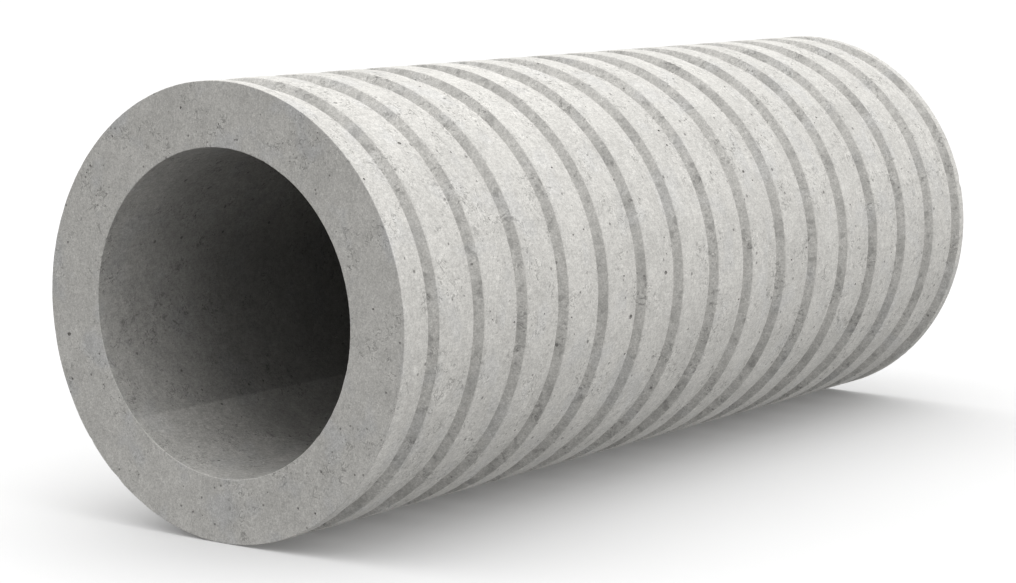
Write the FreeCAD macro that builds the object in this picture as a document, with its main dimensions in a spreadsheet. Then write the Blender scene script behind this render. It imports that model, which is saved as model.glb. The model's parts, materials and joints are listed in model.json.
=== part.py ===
"""Fibre cement casing pipe: one length of thick-walled pipe, cast into a wall to line a service opening.

The outside carries a row of turned grooves that key the pipe into the concrete around it.
The pipe lies on its side along X, centred on X = 0 and Y = 0, with its lowest line at Z = 0.
"""

import FreeCAD
import Part

import os
import Sketcher

# Driving dimensions, in millimetres.
DIMENSIONS = {
    "bore_diameter": 100.0,
    "wall_thickness": 20.0,
    "pipe_length": 350.0,
    "groove_depth": 2.5,
    "groove_opening": 12.0,   # width of a groove at the outer surface
    "groove_pitch": 22.0,
    "flank_run": 2.5,         # axial width of each sloping groove side
    "first_land": 5.0,        # plain surface before the first groove
    "least_end_land": 2.0,    # a groove that would leave less than this at the far end isn't cut
    "cutter_overrun": 3.0,    # how far the groove section reaches past the outer surface
}

OUTER_RADIUS = "(Sheet.bore_diameter / 2 + Sheet.wall_thickness)"
GROOVES = (
    "floor((Sheet.pipe_length - Sheet.first_land - Sheet.groove_opening - Sheet.least_end_land)"
    " / Sheet.groove_pitch) + 1"
)

FULL_TURN = 360.0             # degrees
VOLUME_TOLERANCE = 1e-6       # as a share of the plain pipe's volume
MM3_PER_LITRE = 1e6

START, END = 1, 2             # the two ends of a line in a constraint
ORIGIN = (-1, 1)
VERTICAL_AXIS = -2


def make_sheet(doc):
    """The spreadsheet that holds every driving dimension under its alias."""
    sheet = doc.addObject("Spreadsheet::Sheet", "Sheet")
    for row, (alias, value) in enumerate(DIMENSIONS.items(), start=1):
        sheet.set(f"A{row}", alias)
        sheet.set(f"B{row}", str(value))
        sheet.setAlias(f"B{row}", alias)
    doc.recompute()


def origin_feature(body, role):
    """One of the body's own origin planes or axes."""
    return next(f for f in body.Origin.OriginFeatures if f.Role == role)


def sketch_on_axis_plane(body, name):
    """A sketch in the plane through the pipe's axis: horizontal is the axis, vertical the radius."""
    sketch = body.newObject("Sketcher::SketchObject", name)
    sketch.AttachmentSupport = [(origin_feature(body, "XZ_Plane"), "")]
    sketch.MapMode = "FlatFace"
    return sketch


def add_loop(sketch, corners):
    """A closed loop of lines through the corners, joined end to end. Returns the lines' indices."""
    points = [FreeCAD.Vector(x, y, 0) for x, y in corners]
    lines = [
        sketch.addGeometry(Part.LineSegment(a, b), False)
        for a, b in zip(points, points[1:] + points[:1])
    ]
    for line, following in zip(lines, lines[1:] + lines[:1]):
        sketch.addConstraint(Sketcher.Constraint("Coincident", line, END, following, START))
    return lines


def dimension(sketch, kind, first, second, name, expression, value):
    """A named distance between two points of the sketch, bound to an expression over the sheet."""
    index = sketch.addConstraint(Sketcher.Constraint(kind, *first, *second, value))
    sketch.renameConstraint(index, name)
    sketch.setExpression(f"Constraints.{name}", expression)


def make_wall(body):
    """The plain pipe: the wall's rectangular section turned about the axis."""
    d = DIMENSIONS
    inner = d["bore_diameter"] / 2
    wall = d["wall_thickness"]
    length = d["pipe_length"]
    sketch = sketch_on_axis_plane(body, "WallSection")
    bore, far_end, outside, near_end = add_loop(
        sketch, [(0, inner), (length, inner), (length, inner + wall), (0, inner + wall)]
    )
    for line in (bore, outside):
        sketch.addConstraint(Sketcher.Constraint("Horizontal", line))
    for line in (far_end, near_end):
        sketch.addConstraint(Sketcher.Constraint("Vertical", line))
    bore_corner, far_corner, outer_corner = (bore, START), (bore, END), (outside, END)
    sketch.addConstraint(Sketcher.Constraint("PointOnObject", *bore_corner, VERTICAL_AXIS))
    dimension(sketch, "DistanceY", ORIGIN, bore_corner, "bore_radius", "Sheet.bore_diameter / 2", inner)
    dimension(sketch, "DistanceY", bore_corner, outer_corner, "wall", "Sheet.wall_thickness", wall)
    dimension(sketch, "DistanceX", bore_corner, far_corner, "length", "Sheet.pipe_length", length)

    pipe = body.newObject("PartDesign::Revolution", "PlainPipe")
    pipe.Profile = sketch
    pipe.ReferenceAxis = (sketch, ["H_Axis"])
    pipe.Angle = FULL_TURN
    return pipe


def make_first_groove(body):
    """The groove nearest the near end: a trapezoid with sloping sides, turned out of the wall."""
    d = DIMENSIONS
    depth, opening, run = d["groove_depth"], d["groove_opening"], d["flank_run"]
    overrun = d["cutter_overrun"]
    surface = d["bore_diameter"] / 2 + d["wall_thickness"]
    floor, top = surface - depth, surface + overrun
    near_lip, far_lip = d["first_land"], d["first_land"] + opening
    past_lip = run * overrun / depth   # how far a side's slope carries it beyond its lip

    sketch = sketch_on_axis_plane(body, "GrooveSection")
    bottom, far_side, lid, near_side = add_loop(
        sketch,
        [
            (near_lip + run, floor),
            (far_lip - run, floor),
            (far_lip + past_lip, top),
            (near_lip - past_lip, top),
        ],
    )
    lips = (FreeCAD.Vector(x, surface, 0) for x in (near_lip, far_lip))
    mouth = sketch.addGeometry(Part.LineSegment(*lips), True)
    for line in (bottom, lid, mouth):
        sketch.addConstraint(Sketcher.Constraint("Horizontal", line))
    near_mouth, far_mouth = (mouth, START), (mouth, END)
    near_corner, far_corner = (bottom, START), (bottom, END)
    sketch.addConstraint(Sketcher.Constraint("PointOnObject", *near_mouth, near_side))
    sketch.addConstraint(Sketcher.Constraint("PointOnObject", *far_mouth, far_side))
    dimension(sketch, "DistanceY", ORIGIN, near_mouth, "surface", OUTER_RADIUS, surface)
    dimension(sketch, "DistanceX", ORIGIN, near_mouth, "land", "Sheet.first_land", near_lip)
    dimension(sketch, "DistanceX", near_mouth, far_mouth, "opening", "Sheet.groove_opening", opening)
    dimension(sketch, "DistanceY", near_corner, near_mouth, "depth", "Sheet.groove_depth", depth)
    dimension(sketch, "DistanceY", near_mouth, (lid, END), "overrun", "Sheet.cutter_overrun", overrun)
    dimension(sketch, "DistanceX", near_mouth, near_corner, "near_run", "Sheet.flank_run", run)
    dimension(sketch, "DistanceX", far_corner, far_mouth, "far_run", "Sheet.flank_run", run)

    groove = body.newObject("PartDesign::Groove", "FirstGroove")
    groove.Profile = sketch
    groove.ReferenceAxis = (sketch, ["H_Axis"])
    groove.Angle = FULL_TURN
    return groove


def repeat_along_axis(body, groove):
    """The groove repeated at its pitch, as many whole times as the length takes."""
    row = body.newObject("PartDesign::LinearPattern", "GrooveRow")
    row.Originals = [groove]
    row.Direction = (origin_feature(body, "X_Axis"), [""])
    row.setExpression("Occurrences", GROOVES)
    row.setExpression("Length", f"Sheet.groove_pitch * ({GROOVES} - 1)")
    body.Tip = row
    return row


def check_grooves(pipe, groove, row):
    """Each groove has to take the same volume, so a cut that missed the wall stops the build."""
    one = pipe.Shape.Volume - groove.Shape.Volume
    every = pipe.Shape.Volume - row.Shape.Volume
    count = row.Occurrences
    if one <= 0 or abs(every - count * one) > VOLUME_TOLERANCE * pipe.Shape.Volume:
        raise RuntimeError(f"{count} grooves took {every:.1f} mm3, and one takes {one:.1f} mm3")
    print(f"{count} grooves, volume {row.Shape.Volume / MM3_PER_LITRE:.4f} litres")


def make_casing_pipe(doc):
    """The whole pipe as one body, laid on its side."""
    body = doc.addObject("PartDesign::Body", "CasingPipe")
    body.Label = "casing_pipe"
    pipe = make_wall(body)
    doc.recompute()
    groove = make_first_groove(body)
    doc.recompute()
    row = repeat_along_axis(body, groove)
    body.setExpression(".Placement.Base.x", "-Sheet.pipe_length / 2")
    body.setExpression(".Placement.Base.z", OUTER_RADIUS)
    doc.recompute()
    check_grooves(pipe, groove, row)
    return body


def check(doc, parts):
    """Stops the build if any object failed or a part isn't one valid solid."""
    failed = [o.Name for o in doc.Objects if {"Invalid", "Error"} & set(o.State)]
    if failed:
        raise RuntimeError(f"these objects failed to build: {failed}")
    for part in parts:
        shape = part.Shape
        if shape.isNull() or not shape.isValid() or len(shape.Solids) != 1:
            raise RuntimeError(f"{part.Label} isn't one valid solid")


def main():
    doc = FreeCAD.newDocument("CasingPipe")
    make_sheet(doc)
    parts = [make_casing_pipe(doc)]
    check(doc, parts)
    os.makedirs("parts", exist_ok=True)
    for part in parts:
        part.Shape.exportStep(f"parts/{part.Label}.step")


main()
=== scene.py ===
import json
import math
import random

import bpy
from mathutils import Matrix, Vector, noise


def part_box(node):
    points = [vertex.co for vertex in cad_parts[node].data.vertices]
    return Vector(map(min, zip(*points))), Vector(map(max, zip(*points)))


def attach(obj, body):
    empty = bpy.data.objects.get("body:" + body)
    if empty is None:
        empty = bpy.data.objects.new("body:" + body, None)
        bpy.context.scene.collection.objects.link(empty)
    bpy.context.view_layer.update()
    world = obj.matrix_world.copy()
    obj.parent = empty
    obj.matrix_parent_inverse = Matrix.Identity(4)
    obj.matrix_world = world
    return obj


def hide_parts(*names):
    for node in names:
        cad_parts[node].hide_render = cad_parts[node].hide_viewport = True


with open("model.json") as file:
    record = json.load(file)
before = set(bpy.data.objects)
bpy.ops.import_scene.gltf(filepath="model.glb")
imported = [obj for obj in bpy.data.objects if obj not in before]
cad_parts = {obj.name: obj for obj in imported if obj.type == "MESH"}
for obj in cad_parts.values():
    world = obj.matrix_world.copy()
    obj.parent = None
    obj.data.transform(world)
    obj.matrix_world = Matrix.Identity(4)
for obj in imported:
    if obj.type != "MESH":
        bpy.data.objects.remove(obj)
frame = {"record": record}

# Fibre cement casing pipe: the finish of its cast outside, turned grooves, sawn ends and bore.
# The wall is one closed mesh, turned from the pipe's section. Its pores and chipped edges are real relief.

MM = 0.001
TURN = 2 * math.pi

# The pipe's own sizes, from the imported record.
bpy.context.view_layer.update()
LOW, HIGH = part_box("casing_pipe")
MOUNTS = {mount["name"]: mount for mount in frame["record"]["mounts"]}
AXIS_Y, AXIS_Z = MOUNTS["bore"]["pos_m"][1:]
OUTER_RADIUS = MOUNTS["outside"]["dims"]["r_mm"] * MM
BORE_RADIUS = MOUNTS["bore"]["dims"]["r_mm"] * MM
NEAR_X, FAR_X = LOW.x, HIGH.x

# The grooves, as turned.
FIRST_LAND = 5 * MM
PITCH = 22 * MM
OPENING = 12 * MM
DEPTH = 2.5 * MM
FLANK_RUN = 2.5 * MM
GROOVE_COUNT = 16

# The wall's mesh.
SEGMENTS = 312
SKIN = 0.10 * MM        # away from pores and chips, the surface lies this far in at most
ARRIS = 0.18 * MM       # half the width of the worn corner at a lip
EDGE = 0.15 * MM        # the worn corner of the sawn ends
RELIEF = 0.07 * MM      # how much of that the gentle swell takes up
LIP_WEAR = 0.10 * MM    # how far the corners are worn back, here and there
SWELL_SCALE = 90        # features a metre, of the swell and of the wear
WEAR_SCALE = 420
SHARP_ANGLE = math.radians(18)
SEED = 11

SURFACES = ["outside", "flank", "end", "bore", "pore"]


# ---------------------------------------------------------------- section

def between(start, end, count):
    """count evenly spaced values strictly between start and end."""
    return [start + (end - start) * k / (count + 1) for k in range(1, count + 1)]


def groove_stations(lip):
    """One groove's stations, from its near lip at X = lip: (x, radius, surface, edge weight)."""
    outer, floor = OUTER_RADIUS, OUTER_RADIUS - DEPTH
    far_lip = lip + OPENING
    near_corner, far_corner = lip + FLANK_RUN, far_lip - FLANK_RUN
    stations = [
        (lip - ARRIS, outer, "outside", 1.0),
        (lip + ARRIS, outer - ARRIS, "flank", 1.0),
        (lip + FLANK_RUN / 2, outer - DEPTH / 2, "flank", 0.0),
        (near_corner, floor, "outside", 0.0),
    ]
    stations += [(x, floor, "outside", 0.0) for x in between(near_corner, far_corner, 2)]
    stations += [
        (far_corner, floor, "flank", 0.0),
        (far_lip - FLANK_RUN / 2, outer - DEPTH / 2, "flank", 0.0),
        (far_lip - ARRIS, outer - ARRIS, "outside", 1.0),
        (far_lip + ARRIS, outer, "outside", 1.0),
    ]
    return stations


def section():
    """The closed section: along the outside, down the far end, back along the bore and up the near end."""
    outer, inner = OUTER_RADIUS, BORE_RADIUS
    stations = [(NEAR_X, outer - EDGE, "end", 1.0), (NEAR_X + EDGE, outer, "outside", 1.0)]
    for k in range(GROOVE_COUNT):
        lip = NEAR_X + FIRST_LAND + k * PITCH
        land_points = 1 if k == 0 else 3
        stations += [(x, outer, "outside", 0.0) for x in between(stations[-1][0], lip - ARRIS, land_points)]
        stations += groove_stations(lip)
    stations += [(x, outer, "outside", 0.0) for x in between(stations[-1][0], FAR_X - EDGE, 1)]
    stations.append((FAR_X - EDGE, outer, "end", 1.0))
    stations.append((FAR_X, outer - EDGE, "end", 1.0))
    stations += [(FAR_X, r, "end", 0.0) for r in between(outer - EDGE, inner + EDGE, 9)]
    stations.append((FAR_X, inner + EDGE, "end", 1.0))
    stations.append((FAR_X - EDGE, inner, "bore", 1.0))
    stations += [(x, inner, "bore", 0.0) for x in between(FAR_X - EDGE, 0, 14)]
    stations += [(x, inner, "bore", 0.0) for x in between(0, NEAR_X + EDGE, 38)]
    stations.append((NEAR_X + EDGE, inner, "end", 1.0))
    stations.append((NEAR_X, inner + EDGE, "end", 1.0))
    stations += [(NEAR_X, r, "end", 0.0) for r in between(inner + EDGE, outer - EDGE, 9)]
    return stations


def section_normals(stations):
    """The outward direction at each station, in the section's own plane: (along X, along the radius).

    The two stations of a worn corner share one direction, so that a chip moves them together.
    """
    count = len(stations)
    sides = []
    for j in range(count):
        x0, r0 = stations[j][:2]
        x1, r1 = stations[(j + 1) % count][:2]
        sides.append(Vector((r0 - r1, x1 - x0)).normalized())
    normals = []
    for j in range(count):
        corner, corner_goes_on = stations[j][3], stations[(j + 1) % count][3]
        if corner and corner_goes_on:
            normals.append(sides[j])
        elif corner:
            normals.append(sides[j - 1])
        else:
            normals.append((sides[j - 1] + sides[j]).normalized())
    return normals


# ---------------------------------------------------------------- relief

CHIPS_PER_EDGE = (5, 10)
LARGE_CHIP_SHARE = 0.30


def chips_for_edge(rng):
    """Small breaks along one arris: (angle, half width as an angle, depth)."""
    chips = []
    for _ in range(rng.randint(*CHIPS_PER_EDGE)):
        width = rng.uniform(0.6, 1.8) * MM / OUTER_RADIUS
        chips.append((rng.uniform(0, TURN), width, rng.uniform(0.06, 0.24) * MM))
    if rng.random() < LARGE_CHIP_SHARE:
        width = rng.uniform(1.6, 2.6) * MM / OUTER_RADIUS
        chips.append((rng.uniform(0, TURN), width, rng.uniform(0.22, 0.40) * MM))
    return chips


def chip_depth(chips, angle):
    """How deep the chips go at this angle round the arris."""
    deepest = 0.0
    for centre, half_width, depth in chips:
        away = abs((angle - centre + math.pi) % TURN - math.pi) / half_width
        if away < 1:
            deepest = max(deepest, depth * (1 - away * away))
    return deepest


def wall_points(stations, rng):
    """Every vertex of the turned wall, ring by ring, with its relief. Nothing lies outside the section."""
    points = []
    chips = []
    normals = section_normals(stations)
    for j, (x, radius, _, edge) in enumerate(stations):
        if edge and not (j and stations[j - 1][3]):
            chips = chips_for_edge(rng)
        along, outward = normals[j]
        for i in range(SEGMENTS):
            angle = TURN * i / SEGMENTS
            around = Vector((0, math.cos(angle), math.sin(angle)))
            point = Vector((x, AXIS_Y, AXIS_Z)) + around * radius
            swell = 0.5 + 0.5 * noise.fractal(point * SWELL_SCALE, 1.0, 2.0, 3)
            depth = SKIN - RELIEF * min(max(swell, 0), 1)
            if edge:
                worn = max(0.0, noise.noise(point * WEAR_SCALE))
                depth += edge * (LIP_WEAR * worn + chip_depth(chips, angle))
            normal = Vector((along, 0, 0)) + around * outward
            points.append(point - normal * depth)
    return points


# ---------------------------------------------------------------- pores

PORES = {               # surface: (single pores, clusters), over the whole of it
    "outside": (210, 44),
    "end": (46, 9),
    "bore": (80, 8),
}
PORES_IN_CLUSTER = (3, 7)
LARGE_SHARE = 0.10
LEAST_STRIP = 1.2 * MM
PORE_TAPER = 0.86       # the pore's wall draws in this much on its way down
PORE_WALL = 0.6         # and ends at this share of the depth


class Wall:
    """The wall's mesh while it is being made: vertices, faces, and each face's surface."""

    def __init__(self, stations, points):
        self.stations = stations
        self.points = points
        self.faces = []
        self.surfaces = []
        self.taken = set()

    def vertex(self, j, i):
        """The index of the wall's own vertex at station j and segment i."""
        return (j % len(self.stations)) * SEGMENTS + i % SEGMENTS

    def strip_length(self, j):
        """How long the strip from station j to the next one is, across the section."""
        x0, r0 = self.stations[j][:2]
        x1, r1 = self.stations[(j + 1) % len(self.stations)][:2]
        return math.hypot(x1 - x0, r1 - r0)

    def holds_pore(self, j, surface):
        """Whether the strip is wide enough for a pore and lies on that surface."""
        return self.stations[j][2] == surface and self.strip_length(j) > LEAST_STRIP

    def is_free(self, j, i):
        """Whether no pore has taken this cell or one beside it."""
        return not any((j + a, (i + b) % SEGMENTS) in self.taken for a in (-1, 0, 1) for b in (-1, 0, 1))

    def add_face(self, corners, surface):
        self.faces.append(corners)
        self.surfaces.append(SURFACES.index(surface))

    def add_ring(self, centre, offsets, scale, drop):
        """Adds a ring of vertices round the centre, drawn in by scale and let down by drop."""
        first = len(self.points)
        self.points += [centre + offset * scale - drop for offset in offsets]
        return list(range(first, first + len(offsets)))

    def add_pore(self, rim_cells, boundary, size, depth, surface, rng):
        """A pore sunk inside the loop of boundary vertices, in place of the cells it takes."""
        self.taken.update(rim_cells)
        loop = [self.points[k] for k in boundary]
        centre = sum(loop, Vector()) / len(loop)
        across = (loop[len(loop) // 2] - loop[0]).cross(loop[-len(loop) // 4] - loop[len(loop) // 4])
        outward = across.normalized()
        if len(loop) == 4:
            directions = [d for k in range(4) for d in (loop[k], (loop[k] + loop[(k + 1) % 4]) / 2)]
        else:
            directions = loop
        long_axis = (loop[1] - loop[0]).normalized()
        stretch = rng.uniform(0.0, 0.35)
        offsets = []
        for target in directions:
            flat = (target - centre) - outward * (target - centre).dot(outward)
            flat = flat.normalized() * size * rng.uniform(0.82, 1.0)
            offsets.append(flat - long_axis * flat.dot(long_axis) * stretch)
        rim = self.add_ring(centre, offsets, 1.0, Vector())
        wall = self.add_ring(centre, offsets, PORE_TAPER, outward * depth * PORE_WALL)
        base = self.add_ring(centre, [Vector()], 1.0, outward * depth)[0]
        count = len(rim)
        for k in range(len(boundary)):
            here, there = boundary[k], boundary[(k + 1) % len(boundary)]
            if len(boundary) == 4:
                a, b, c = rim[2 * k], rim[2 * k + 1], rim[(2 * k + 2) % count]
                self.add_face((here, there, b), surface)
                self.add_face((there, c, b), surface)
                self.add_face((here, b, a), surface)
            else:
                self.add_face((here, there, rim[(k + 1) % count], rim[k]), surface)
        for k in range(count):
            after = (k + 1) % count
            # The pore's walls and base take the dark pore finish, which is painted shade.
            self.add_face((rim[k], rim[after], wall[after], wall[k]), "pore")
            self.add_face((wall[k], wall[after], base), "pore")

    def try_pore(self, j, i, surface, rng):
        """Puts a pore at the cell if there is room for it."""
        i %= SEGMENTS
        if not (0 <= j < len(self.stations)) or not self.holds_pore(j, surface) or not self.is_free(j, i):
            return
        v = self.vertex
        wide = rng.random() < LARGE_SHARE and self.holds_pore(j - 1, surface) and self.is_free(j - 1, i - 1)
        room = min(self.strip_length(j), TURN * self.stations[j][1] / SEGMENTS)
        if wide:
            cells = [(j - a, (i - b) % SEGMENTS) for a in (0, 1) for b in (0, 1)]
            boundary = [
                v(j - 1, i - 1), v(j - 1, i), v(j - 1, i + 1), v(j, i + 1),
                v(j + 1, i + 1), v(j + 1, i), v(j + 1, i - 1), v(j, i - 1),
            ]
            size = room * rng.uniform(0.45, 0.68)
        else:
            cells = [(j, i)]
            boundary = [v(j, i), v(j, i + 1), v(j + 1, i + 1), v(j + 1, i)]
            size = room * rng.uniform(0.18, 0.40)
        self.add_pore(cells, boundary, size, size * rng.uniform(0.6, 1.1), surface, rng)

    def scatter_pores(self, surface, singles, clusters, rng):
        """Pores strewn over one surface, some alone and some in groups."""
        strips = [j for j in range(len(self.stations)) if self.holds_pore(j, surface)]
        for _ in range(singles):
            self.try_pore(rng.choice(strips), rng.randrange(SEGMENTS), surface, rng)
        for _ in range(clusters):
            j, i = rng.choice(strips), rng.randrange(SEGMENTS)
            for _ in range(rng.randint(*PORES_IN_CLUSTER)):
                self.try_pore(j + rng.randint(-2, 2), i + rng.randint(-5, 5), surface, rng)

    def add_plain_cells(self):
        """A quad for each cell that no pore took."""
        v = self.vertex
        for j in range(len(self.stations)):
            surface = self.stations[j][2]
            for i in range(SEGMENTS):
                if (j, i) not in self.taken:
                    self.add_face((v(j, i), v(j, i + 1), v(j + 1, i + 1), v(j + 1, i)), surface)


def make_wall(materials):
    """The whole wall as one mesh object."""
    rng = random.Random(SEED)
    stations = section()
    wall = Wall(stations, wall_points(stations, rng))
    for surface, (singles, clusters) in PORES.items():
        wall.scatter_pores(surface, singles, clusters, rng)
    wall.add_plain_cells()
    used = sorted({k for face in wall.faces for k in face})
    renumber = {old: new for new, old in enumerate(used)}
    mesh = bpy.data.meshes.new("pipe_wall")
    mesh.from_pydata([wall.points[k] for k in used], [], [[renumber[k] for k in f] for f in wall.faces])
    for surface in SURFACES:
        mesh.materials.append(materials[surface])
    mesh.polygons.foreach_set("material_index", wall.surfaces)
    mesh.polygons.foreach_set("use_smooth", [True] * len(mesh.polygons))
    mesh.set_sharp_from_angle(angle=SHARP_ANGLE)
    mesh.update()
    piece = bpy.data.objects.new("pipe_wall", mesh)
    bpy.context.scene.collection.objects.link(piece)
    return piece


# ---------------------------------------------------------------- materials

class Nodes:
    """Small helpers over one material's node tree."""

    def __init__(self, material):
        material.use_nodes = True
        self.tree = material.node_tree
        self.shader = self.tree.nodes["Principled BSDF"]
        self.place = self.tree.nodes.new("ShaderNodeTexCoord").outputs["Object"]

    def link(self, value, socket):
        """Links an output to the socket, or sets a plain number on it."""
        if isinstance(value, bpy.types.NodeSocket):
            self.tree.links.new(value, socket)
        else:
            socket.default_value = value

    def calculate(self, operation, a, b=0.0):
        node = self.tree.nodes.new("ShaderNodeMath")
        node.operation = operation
        self.link(a, node.inputs[0])
        self.link(b, node.inputs[1])
        return node.outputs[0]

    def remap(self, value, low, high, to_low, to_high, smooth=False):
        node = self.tree.nodes.new("ShaderNodeMapRange")
        node.interpolation_type = "SMOOTHSTEP" if smooth else "LINEAR"
        for name, number in (("From Min", low), ("From Max", high), ("To Min", to_low), ("To Max", to_high)):
            node.inputs[name].default_value = number
        self.link(value, node.inputs["Value"])
        return node.outputs["Result"]

    def shifted(self, offset, stretch=(1, 1, 1)):
        """The place in the pipe, moved and stretched, so that two patterns never line up."""
        node = self.tree.nodes.new("ShaderNodeMapping")
        node.inputs["Location"].default_value = offset
        node.inputs["Scale"].default_value = stretch
        self.link(self.place, node.inputs["Vector"])
        return node.outputs["Vector"]

    def noise(self, size, detail=2.0, roughness=0.5, offset=(0, 0, 0), stretch=(1, 1, 1), distortion=0.0):
        """Noise whose features are about size metres across."""
        node = self.tree.nodes.new("ShaderNodeTexNoise")
        node.inputs["Scale"].default_value = 1 / size
        node.inputs["Detail"].default_value = detail
        node.inputs["Roughness"].default_value = roughness
        node.inputs["Distortion"].default_value = distortion
        self.link(self.shifted(offset, stretch), node.inputs["Vector"])
        return node.outputs["Fac"]

    def pinholes(self, spacing, size, share, offset=(0, 0, 0)):
        """1 inside tiny round holes, 0 elsewhere. share is how many of the cells have one."""
        node = self.tree.nodes.new("ShaderNodeTexVoronoi")
        node.inputs["Scale"].default_value = 1 / spacing
        self.link(self.shifted(offset), node.inputs["Vector"])
        split = self.tree.nodes.new("ShaderNodeSeparateColor")
        self.link(node.outputs["Color"], split.inputs["Color"])
        radius = self.remap(split.outputs[0], 0, 1, size / spacing * 0.4, size / spacing)
        depth = self.calculate("DIVIDE", node.outputs["Distance"], radius)
        hole = self.remap(depth, 0.55, 1.0, 1.0, 0.0, smooth=True)
        chosen = self.calculate("LESS_THAN", split.outputs[1], share)
        return self.calculate("MULTIPLY", hole, chosen)

    def facing(self, middle):
        """The cosine of the angle round the pipe from this place to the angle middle, in degrees."""
        split = self.tree.nodes.new("ShaderNodeSeparateXYZ")
        self.link(self.place, split.inputs[0])
        across = self.calculate("SUBTRACT", split.outputs["Y"], AXIS_Y)
        up = self.calculate("SUBTRACT", split.outputs["Z"], AXIS_Z)
        angle = math.radians(middle)
        facing = self.calculate("MULTIPLY", across, math.cos(angle))
        facing = self.calculate("ADD", facing, self.calculate("MULTIPLY", up, math.sin(angle)))
        span = self.calculate("MULTIPLY", across, across)
        span = self.calculate("ADD", span, self.calculate("MULTIPLY", up, up))
        return self.calculate("DIVIDE", facing, self.calculate("SQRT", span))

    def quarter(self, middle):
        """1 in the quarter of the pipe round the angle middle, in degrees, and 0 elsewhere."""
        edge = math.cos(math.pi / 4)
        return self.remap(self.facing(middle), edge - STEP_BLUR, edge + STEP_BLUR, 0.0, 1.0, smooth=True)

    def bore_painted_light(self):
        """Painted light and shade in the bore's colour: palest at its mouths and along its floor, darkest
        low on one side.
        """
        split = self.tree.nodes.new("ShaderNodeSeparateXYZ")
        self.link(self.place, split.inputs[0])
        from_near = self.calculate("SUBTRACT", split.outputs["X"], NEAR_X)
        from_far = self.calculate("SUBTRACT", FAR_X, split.outputs["X"])
        inside = self.calculate("MINIMUM", from_near, from_far)
        mouth = self.remap(inside, *MOUTH_PAINTED_LIGHT_SPAN, MOUTH_PAINTED_LIGHT, 1.0, smooth=True)
        deep = self.remap(inside, *PAINTED_SHADE_SPAN, 0.0, 1.0, smooth=True)
        side = self.remap(self.facing(PAINTED_SHADE_SIDE), 0.35, 0.85, 0.0, 1.0, smooth=True)
        value = self.darken(mouth, self.calculate("MULTIPLY", side, deep), PAINTED_SHADE_AMOUNT)
        floor_painted_light = self.remap(inside, *BORE_FLOOR_PAINTED_LIGHT_SPAN, *BORE_FLOOR_PAINTED_LIGHT)
        floor_painted_light = self.calculate("MULTIPLY", floor_painted_light, self.quarter(DOWN))
        return self.calculate("MULTIPLY", value, self.calculate("ADD", floor_painted_light, 1.0))

    def swing(self, value, amount):
        """A brightness that swings by up to about amount either side of 1, as the noise does."""
        return self.remap(value, 0.3, 0.7, 1 - amount, 1 + amount)

    def thread(self, value, level, width):
        """1 along the thin lines where the noise crosses the level, 0 elsewhere."""
        away = self.calculate("ABSOLUTE", self.calculate("SUBTRACT", value, level))
        return self.remap(away, 0.0, width, 1.0, 0.0, smooth=True)

    def darken(self, value, mask, amount):
        """value, less amount of itself where the mask is 1."""
        kept = self.remap(mask, 0.0, 1.0, 1.0, 1.0 - amount)
        return self.calculate("MULTIPLY", value, kept)

    def mix(self, mask, a, b):
        """From colour a, where the mask is 0, to colour b."""
        node = self.tree.nodes.new("ShaderNodeMix")
        node.data_type = "RGBA"
        self.link(mask, node.inputs["Factor"])
        for colour, socket in ((a, node.inputs[6]), (b, node.inputs[7])):
            self.link(colour, socket)
        return node.outputs[2]

    def scale_colour(self, colour, value):
        node = self.tree.nodes.new("ShaderNodeVectorMath")
        node.operation = "SCALE"
        self.link(colour, node.inputs[0])
        self.link(value, node.inputs["Scale"])
        return node.outputs["Vector"]

    def bump(self, height, distance, strength):
        node = self.tree.nodes.new("ShaderNodeBump")
        node.inputs["Strength"].default_value = strength
        node.inputs["Distance"].default_value = distance
        self.link(height, node.inputs["Height"])
        return node.outputs["Normal"]


def shade(level, cast=(1.0, 0.986, 0.957)):
    """A warm grey of that level, with its cast."""
    return (level * cast[0], level * cast[1], level * cast[2], 1.0)


COOL = (0.965, 0.975, 1.0)
STEP_BLUR = 0.006

# Painted light and shade in the bore's colour. Each span is measured in from the nearer mouth.
MOUTH_PAINTED_LIGHT = 1.15
MOUTH_PAINTED_LIGHT_SPAN = 5 * MM, 34 * MM
PAINTED_SHADE_SIDE = -30         # where the painted shade is deepest, in degrees round the pipe, from +Y towards +Z
PAINTED_SHADE_AMOUNT = 0.32
PAINTED_SHADE_SPAN = 28 * MM, 60 * MM
BORE_FLOOR_PAINTED_LIGHT = 0.12, 0.36     # painted light: how much paler the bore's floor is at a mouth, and further in
BORE_FLOOR_PAINTED_LIGHT_SPAN = 3 * MM, 40 * MM
UP, DOWN = 90, 270


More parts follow.
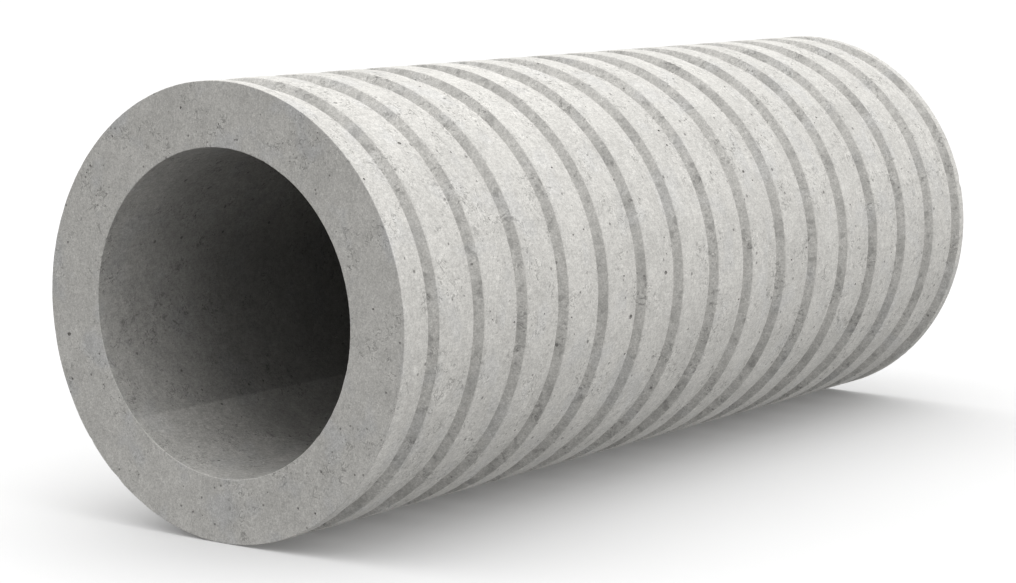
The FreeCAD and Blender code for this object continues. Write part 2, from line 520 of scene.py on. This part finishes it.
def fibre_cement(name, level, cloud, grain, holes, cool=0.3, stains=0.0, painted_top_light=0.0, painted_bore_light=False,
                 offset=(0, 0, 0)):
    """Bare fibre cement: clouded grey with fine grain, pinholes, bluish laitance and short fibre marks."""
    material = bpy.data.materials.new(name)
    n = Nodes(material)
    broad = n.noise(45 * MM, 2.0, 0.5, offset)
    patches = n.noise(11 * MM, 3.0, 0.55, offset, distortion=0.4)
    mottle = n.noise(3.2 * MM, 3.0, 0.6, offset, distortion=0.3)
    fine = n.noise(1.1 * MM, 3.0, 0.7, offset)
    dust = n.noise(0.45 * MM, 1.0, 0.5, offset)
    value = n.swing(broad, 1.2 * cloud)
    value = n.calculate("MULTIPLY", value, n.swing(patches, 1.6 * cloud))
    value = n.calculate("MULTIPLY", value, n.swing(mottle, 0.9 * grain))
    value = n.calculate("MULTIPLY", value, n.swing(fine, 1.65 * grain))
    value = n.calculate("MULTIPLY", value, n.swing(dust, 1.4 * grain))
    streaks = n.noise(0.55 * MM, 2.0, 0.6, offset, stretch=(0.22, 1, 1))
    value = n.calculate("MULTIPLY", value, n.swing(streaks, 0.7 * grain))
    # Painted light: the top quarter is made paler, as if lit from above.
    if painted_top_light:
        value = n.darken(value, n.quarter(UP), -painted_top_light)
    # Painted light and shade in the bore: paler at its mouths and along its floor, darker deep in on one
    # side.
    if painted_bore_light:
        value = n.calculate("MULTIPLY", value, n.bore_painted_light())

    peppered = n.remap(n.noise(14 * MM, 2.0, 0.5, (3.1, 0.7, 1.9)), 0.51, 0.59, 0.0, 1.0, smooth=True)
    specks = n.pinholes(1.7 * MM, 0.45 * MM, 0.60, offset)
    specks = n.calculate("MULTIPLY", specks, n.remap(peppered, 0, 1, 0.35, 1.0))
    pits = n.pinholes(4.2 * MM, 0.80 * MM, holes, offset)
    # The pinholes are darkened in colour as painted shade inside them, besides their dent in the bump.
    value = n.darken(value, specks, 0.34)
    value = n.darken(value, pits, 0.50)

    fibres = n.noise(3.0 * MM, 2.0, 0.55, (0.4, 2.2, 5.1), distortion=0.9)
    broken = n.remap(n.noise(2.6 * MM, 1.0, 0.5, (6.6, 1.2, 0.9)), 0.45, 0.53, 0.0, 1.0, smooth=True)
    broken = n.calculate("MULTIPLY", broken, n.remap(peppered, 0, 1, 0.10, 1.0))
    marks = n.calculate("MULTIPLY", n.thread(fibres, 0.50, 0.045), broken)
    # Beside each dark fibre mark runs a paler thread, a painted highlight.
    painted_highlights = n.calculate("MULTIPLY", n.thread(fibres, 0.57, 0.035), broken)
    value = n.darken(value, marks, 0.36)
    value = n.darken(value, painted_highlights, -0.13)
    if stains:
        damp = n.noise(12 * MM, 2.0, 0.5, (7.3, 4.4, 0.3))
        value = n.darken(value, n.remap(damp, 0.52, 0.66, 0.0, 1.0, smooth=True), stains)
        spots = n.noise(4.5 * MM, 2.0, 0.55, (2.9, 6.1, 4.7))
        value = n.darken(value, n.remap(spots, 0.60, 0.68, 0.0, 1.0, smooth=True), 1.6 * stains)

    laitance = n.remap(n.noise(14 * MM, 2.0, 0.5, (1.7, 8.2, 3.3)), 0.52, 0.68, 0.0, cool, smooth=True)
    colour = n.mix(laitance, shade(level), shade(level * 0.975, COOL))
    n.link(n.scale_colour(colour, value), n.shader.inputs["Base Color"])
    n.link(n.remap(patches, 0.3, 0.7, 0.84, 0.96), n.shader.inputs["Roughness"])
    n.shader.inputs["Specular IOR Level"].default_value = 0.25

    height = n.calculate("MULTIPLY", fine, 0.35)
    height = n.calculate("ADD", height, n.calculate("MULTIPLY", dust, 0.2))
    height = n.calculate("SUBTRACT", height, n.calculate("MULTIPLY", specks, 0.5))
    height = n.calculate("SUBTRACT", height, n.calculate("MULTIPLY", pits, 1.0))
    height = n.calculate("SUBTRACT", height, n.calculate("MULTIPLY", marks, 0.3))
    n.link(n.bump(height, 0.25 * MM, 0.55), n.shader.inputs["Normal"])
    return material


def make_materials():
    """One finish for each kind of surface. The cast outside is palest, and the bore is darkest. The low
    levels of the flank, bore and pore finishes are painted shade.
    """
    return {
        "outside": fibre_cement("fibre_cement_outside_painted_top_light", 0.614, 0.030, 0.085, 0.40, cool=0.25, painted_top_light=0.03),
        # The flank's lower level is painted shade in the grooves.
        "flank": fibre_cement("fibre_cement_flank_painted_shade", 0.495, 0.035, 0.10, 0.25, stains=0.15, offset=(2, 0, 0)),
        "end": fibre_cement("fibre_cement_end", 0.59, 0.030, 0.085, 0.45, cool=0.55, offset=(0, 3, 0)),
        # The bore's low level is painted shade inside the bore.
        "bore": fibre_cement("fibre_cement_bore_painted_light_and_shade", 0.36, 0.045, 0.10, 0.35, painted_bore_light=True, offset=(0, 0, 4)),
        # The dark pore finish is painted shade inside the pores.
        "pore": fibre_cement("fibre_cement_pore_painted_shade", 0.36, 0.030, 0.08, 0.0, offset=(5, 1, 0)),
    }


# ---------------------------------------------------------------- surroundings

FLOOR_HALF = 40.0       # metres from the middle to each side


def make_floor():
    """A wide pale floor."""
    half = FLOOR_HALF
    corners = [(-half, -half, 0), (half, -half, 0), (half, half, 0), (-half, half, 0)]
    mesh = bpy.data.meshes.new("floor")
    mesh.from_pydata(corners, [], [(0, 1, 2, 3)])
    material = bpy.data.materials.new("pale_floor")
    n = Nodes(material)
    tint = n.remap(n.noise(0.25, 2.0), 0.3, 0.7, 0.0, 1.0)
    n.link(n.mix(tint, (0.80, 0.804, 0.820, 1), (0.82, 0.824, 0.840, 1)), n.shader.inputs["Base Color"])
    n.shader.inputs["Roughness"].default_value = 0.9
    mesh.materials.append(material)
    floor = bpy.data.objects.new("floor", mesh)
    floor.visible_diffuse = False      # the pipe is lit by the surroundings, and not by the floor's glare
    bpy.context.scene.collection.objects.link(floor)


# The soft light: a broad glow of the pale surroundings from each direction, and one lamp.
# Glow: azimuth and elevation in degrees, strength at its middle. Azimuth 0 is +X and -90 is -Y.
GLOWS = [
    ("down", 0, -90, 0.30),
    ("near_end_high", 180, 50, 0.46),
    ("side", -90, 0, 0.90),
    ("side_high", -90, 50, 1.02),
    ("far_end_high", 0, 40, 0.55),
    ("back_high", 90, 45, 1.78),
]
GLOW_FOCUS = 3.0
EVEN_GLOW = 0.115
BACKDROP = (1.0, 1.0, 1.0, 1.0)     # how the plain surroundings look, past the edge of the floor

# Lamp: azimuth and elevation in degrees, distance and size in metres, power in watts.
LAMPS = [
    ("top", -90, 75, 2.2, 1.6, 5.2),
]


def direction(azimuth, elevation):
    """The unit vector that points that way."""
    turn, rise = math.radians(azimuth), math.radians(elevation)
    return Vector((math.cos(rise) * math.cos(turn), math.cos(rise) * math.sin(turn), math.sin(rise)))


def make_lamps():
    """Each lamp is a large square that faces the middle of the pipe."""
    aim = Vector((0, AXIS_Y, AXIS_Z))
    for name, azimuth, elevation, distance, size, power in LAMPS:
        away = direction(azimuth, elevation)
        data = bpy.data.lights.new("lamp_" + name, "AREA")
        data.shape = "SQUARE"
        data.size = size
        data.energy = power
        lamp = bpy.data.objects.new("lamp_" + name, data)
        lamp.location = aim + away * distance
        lamp.rotation_euler = away.to_track_quat("Z", "Y").to_euler()
        bpy.context.scene.collection.objects.link(lamp)


def make_world():
    """Pale surroundings, brighter in some directions than in others."""
    world = bpy.data.worlds.new("pale_studio")
    world.use_nodes = True
    tree = world.node_tree
    place = tree.nodes.new("ShaderNodeTexCoord").outputs["Generated"]

    def calculate(operation, a, b):
        node = tree.nodes.new("ShaderNodeMath")
        node.operation = operation
        tree.links.new(a, node.inputs[0])
        node.inputs[1].default_value = b
        return node

    total = None
    for name, azimuth, elevation, strength in GLOWS:
        facing = tree.nodes.new("ShaderNodeVectorMath")
        facing.operation = "DOT_PRODUCT"
        tree.links.new(place, facing.inputs[0])
        facing.inputs[1].default_value = direction(azimuth, elevation)
        lit = calculate("MAXIMUM", facing.outputs["Value"], 0.0)
        focused = calculate("POWER", lit.outputs[0], GLOW_FOCUS)
        glow = calculate("MULTIPLY", focused.outputs[0], strength)
        glow.name = "glow_" + name
        added = calculate("ADD", glow.outputs[0], EVEN_GLOW if total is None else 0.0)
        if total is None:
            added.name = "even_glow"
        else:
            tree.links.new(total, added.inputs[1])
        total = added.outputs[0]
    background = tree.nodes["Background"]
    background.inputs["Color"].default_value = (1.0, 0.995, 0.975, 1.0)
    tree.links.new(total, background.inputs["Strength"])
    backdrop = tree.nodes.new("ShaderNodeBackground")
    backdrop.inputs["Color"].default_value = BACKDROP
    ray = tree.nodes.new("ShaderNodeLightPath")
    seen = tree.nodes.new("ShaderNodeMixShader")
    tree.links.new(ray.outputs["Is Camera Ray"], seen.inputs[0])
    tree.links.new(background.outputs[0], seen.inputs[1])
    tree.links.new(backdrop.outputs[0], seen.inputs[2])
    tree.links.new(seen.outputs[0], tree.nodes["World Output"].inputs["Surface"])
    bpy.context.scene.world = world
    bpy.context.scene.view_settings.view_transform = "Standard"


# Where the picture is taken from, as outer radii away from the middle of the near end.
CAMERA_OFFSET = Vector((-8.9604, -7.9840, 1.7362))
CAMERA_YAW = math.radians(35.807)      # from +X towards +Y
CAMERA_DIP = math.radians(7.808)
LENS, SENSOR = 100, 36                 # millimetres
CLIP_END = 200                         # metres


def make_camera():
    data = bpy.data.cameras.new("camera")
    data.lens = LENS
    data.sensor_width = SENSOR
    data.sensor_fit = "HORIZONTAL"
    data.clip_end = CLIP_END
    camera = bpy.data.objects.new("camera", data)
    camera.location = Vector((NEAR_X, AXIS_Y, AXIS_Z)) + CAMERA_OFFSET * OUTER_RADIUS
    camera.rotation_euler = (math.pi / 2 - CAMERA_DIP, 0, CAMERA_YAW - math.pi / 2)
    bpy.context.scene.collection.objects.link(camera)
    bpy.context.scene.camera = camera


def main():
    wall = make_wall(make_materials())
    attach(wall, "root")
    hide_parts("casing_pipe")
    make_floor()
    make_lamps()
    make_world()
    make_camera()


main()
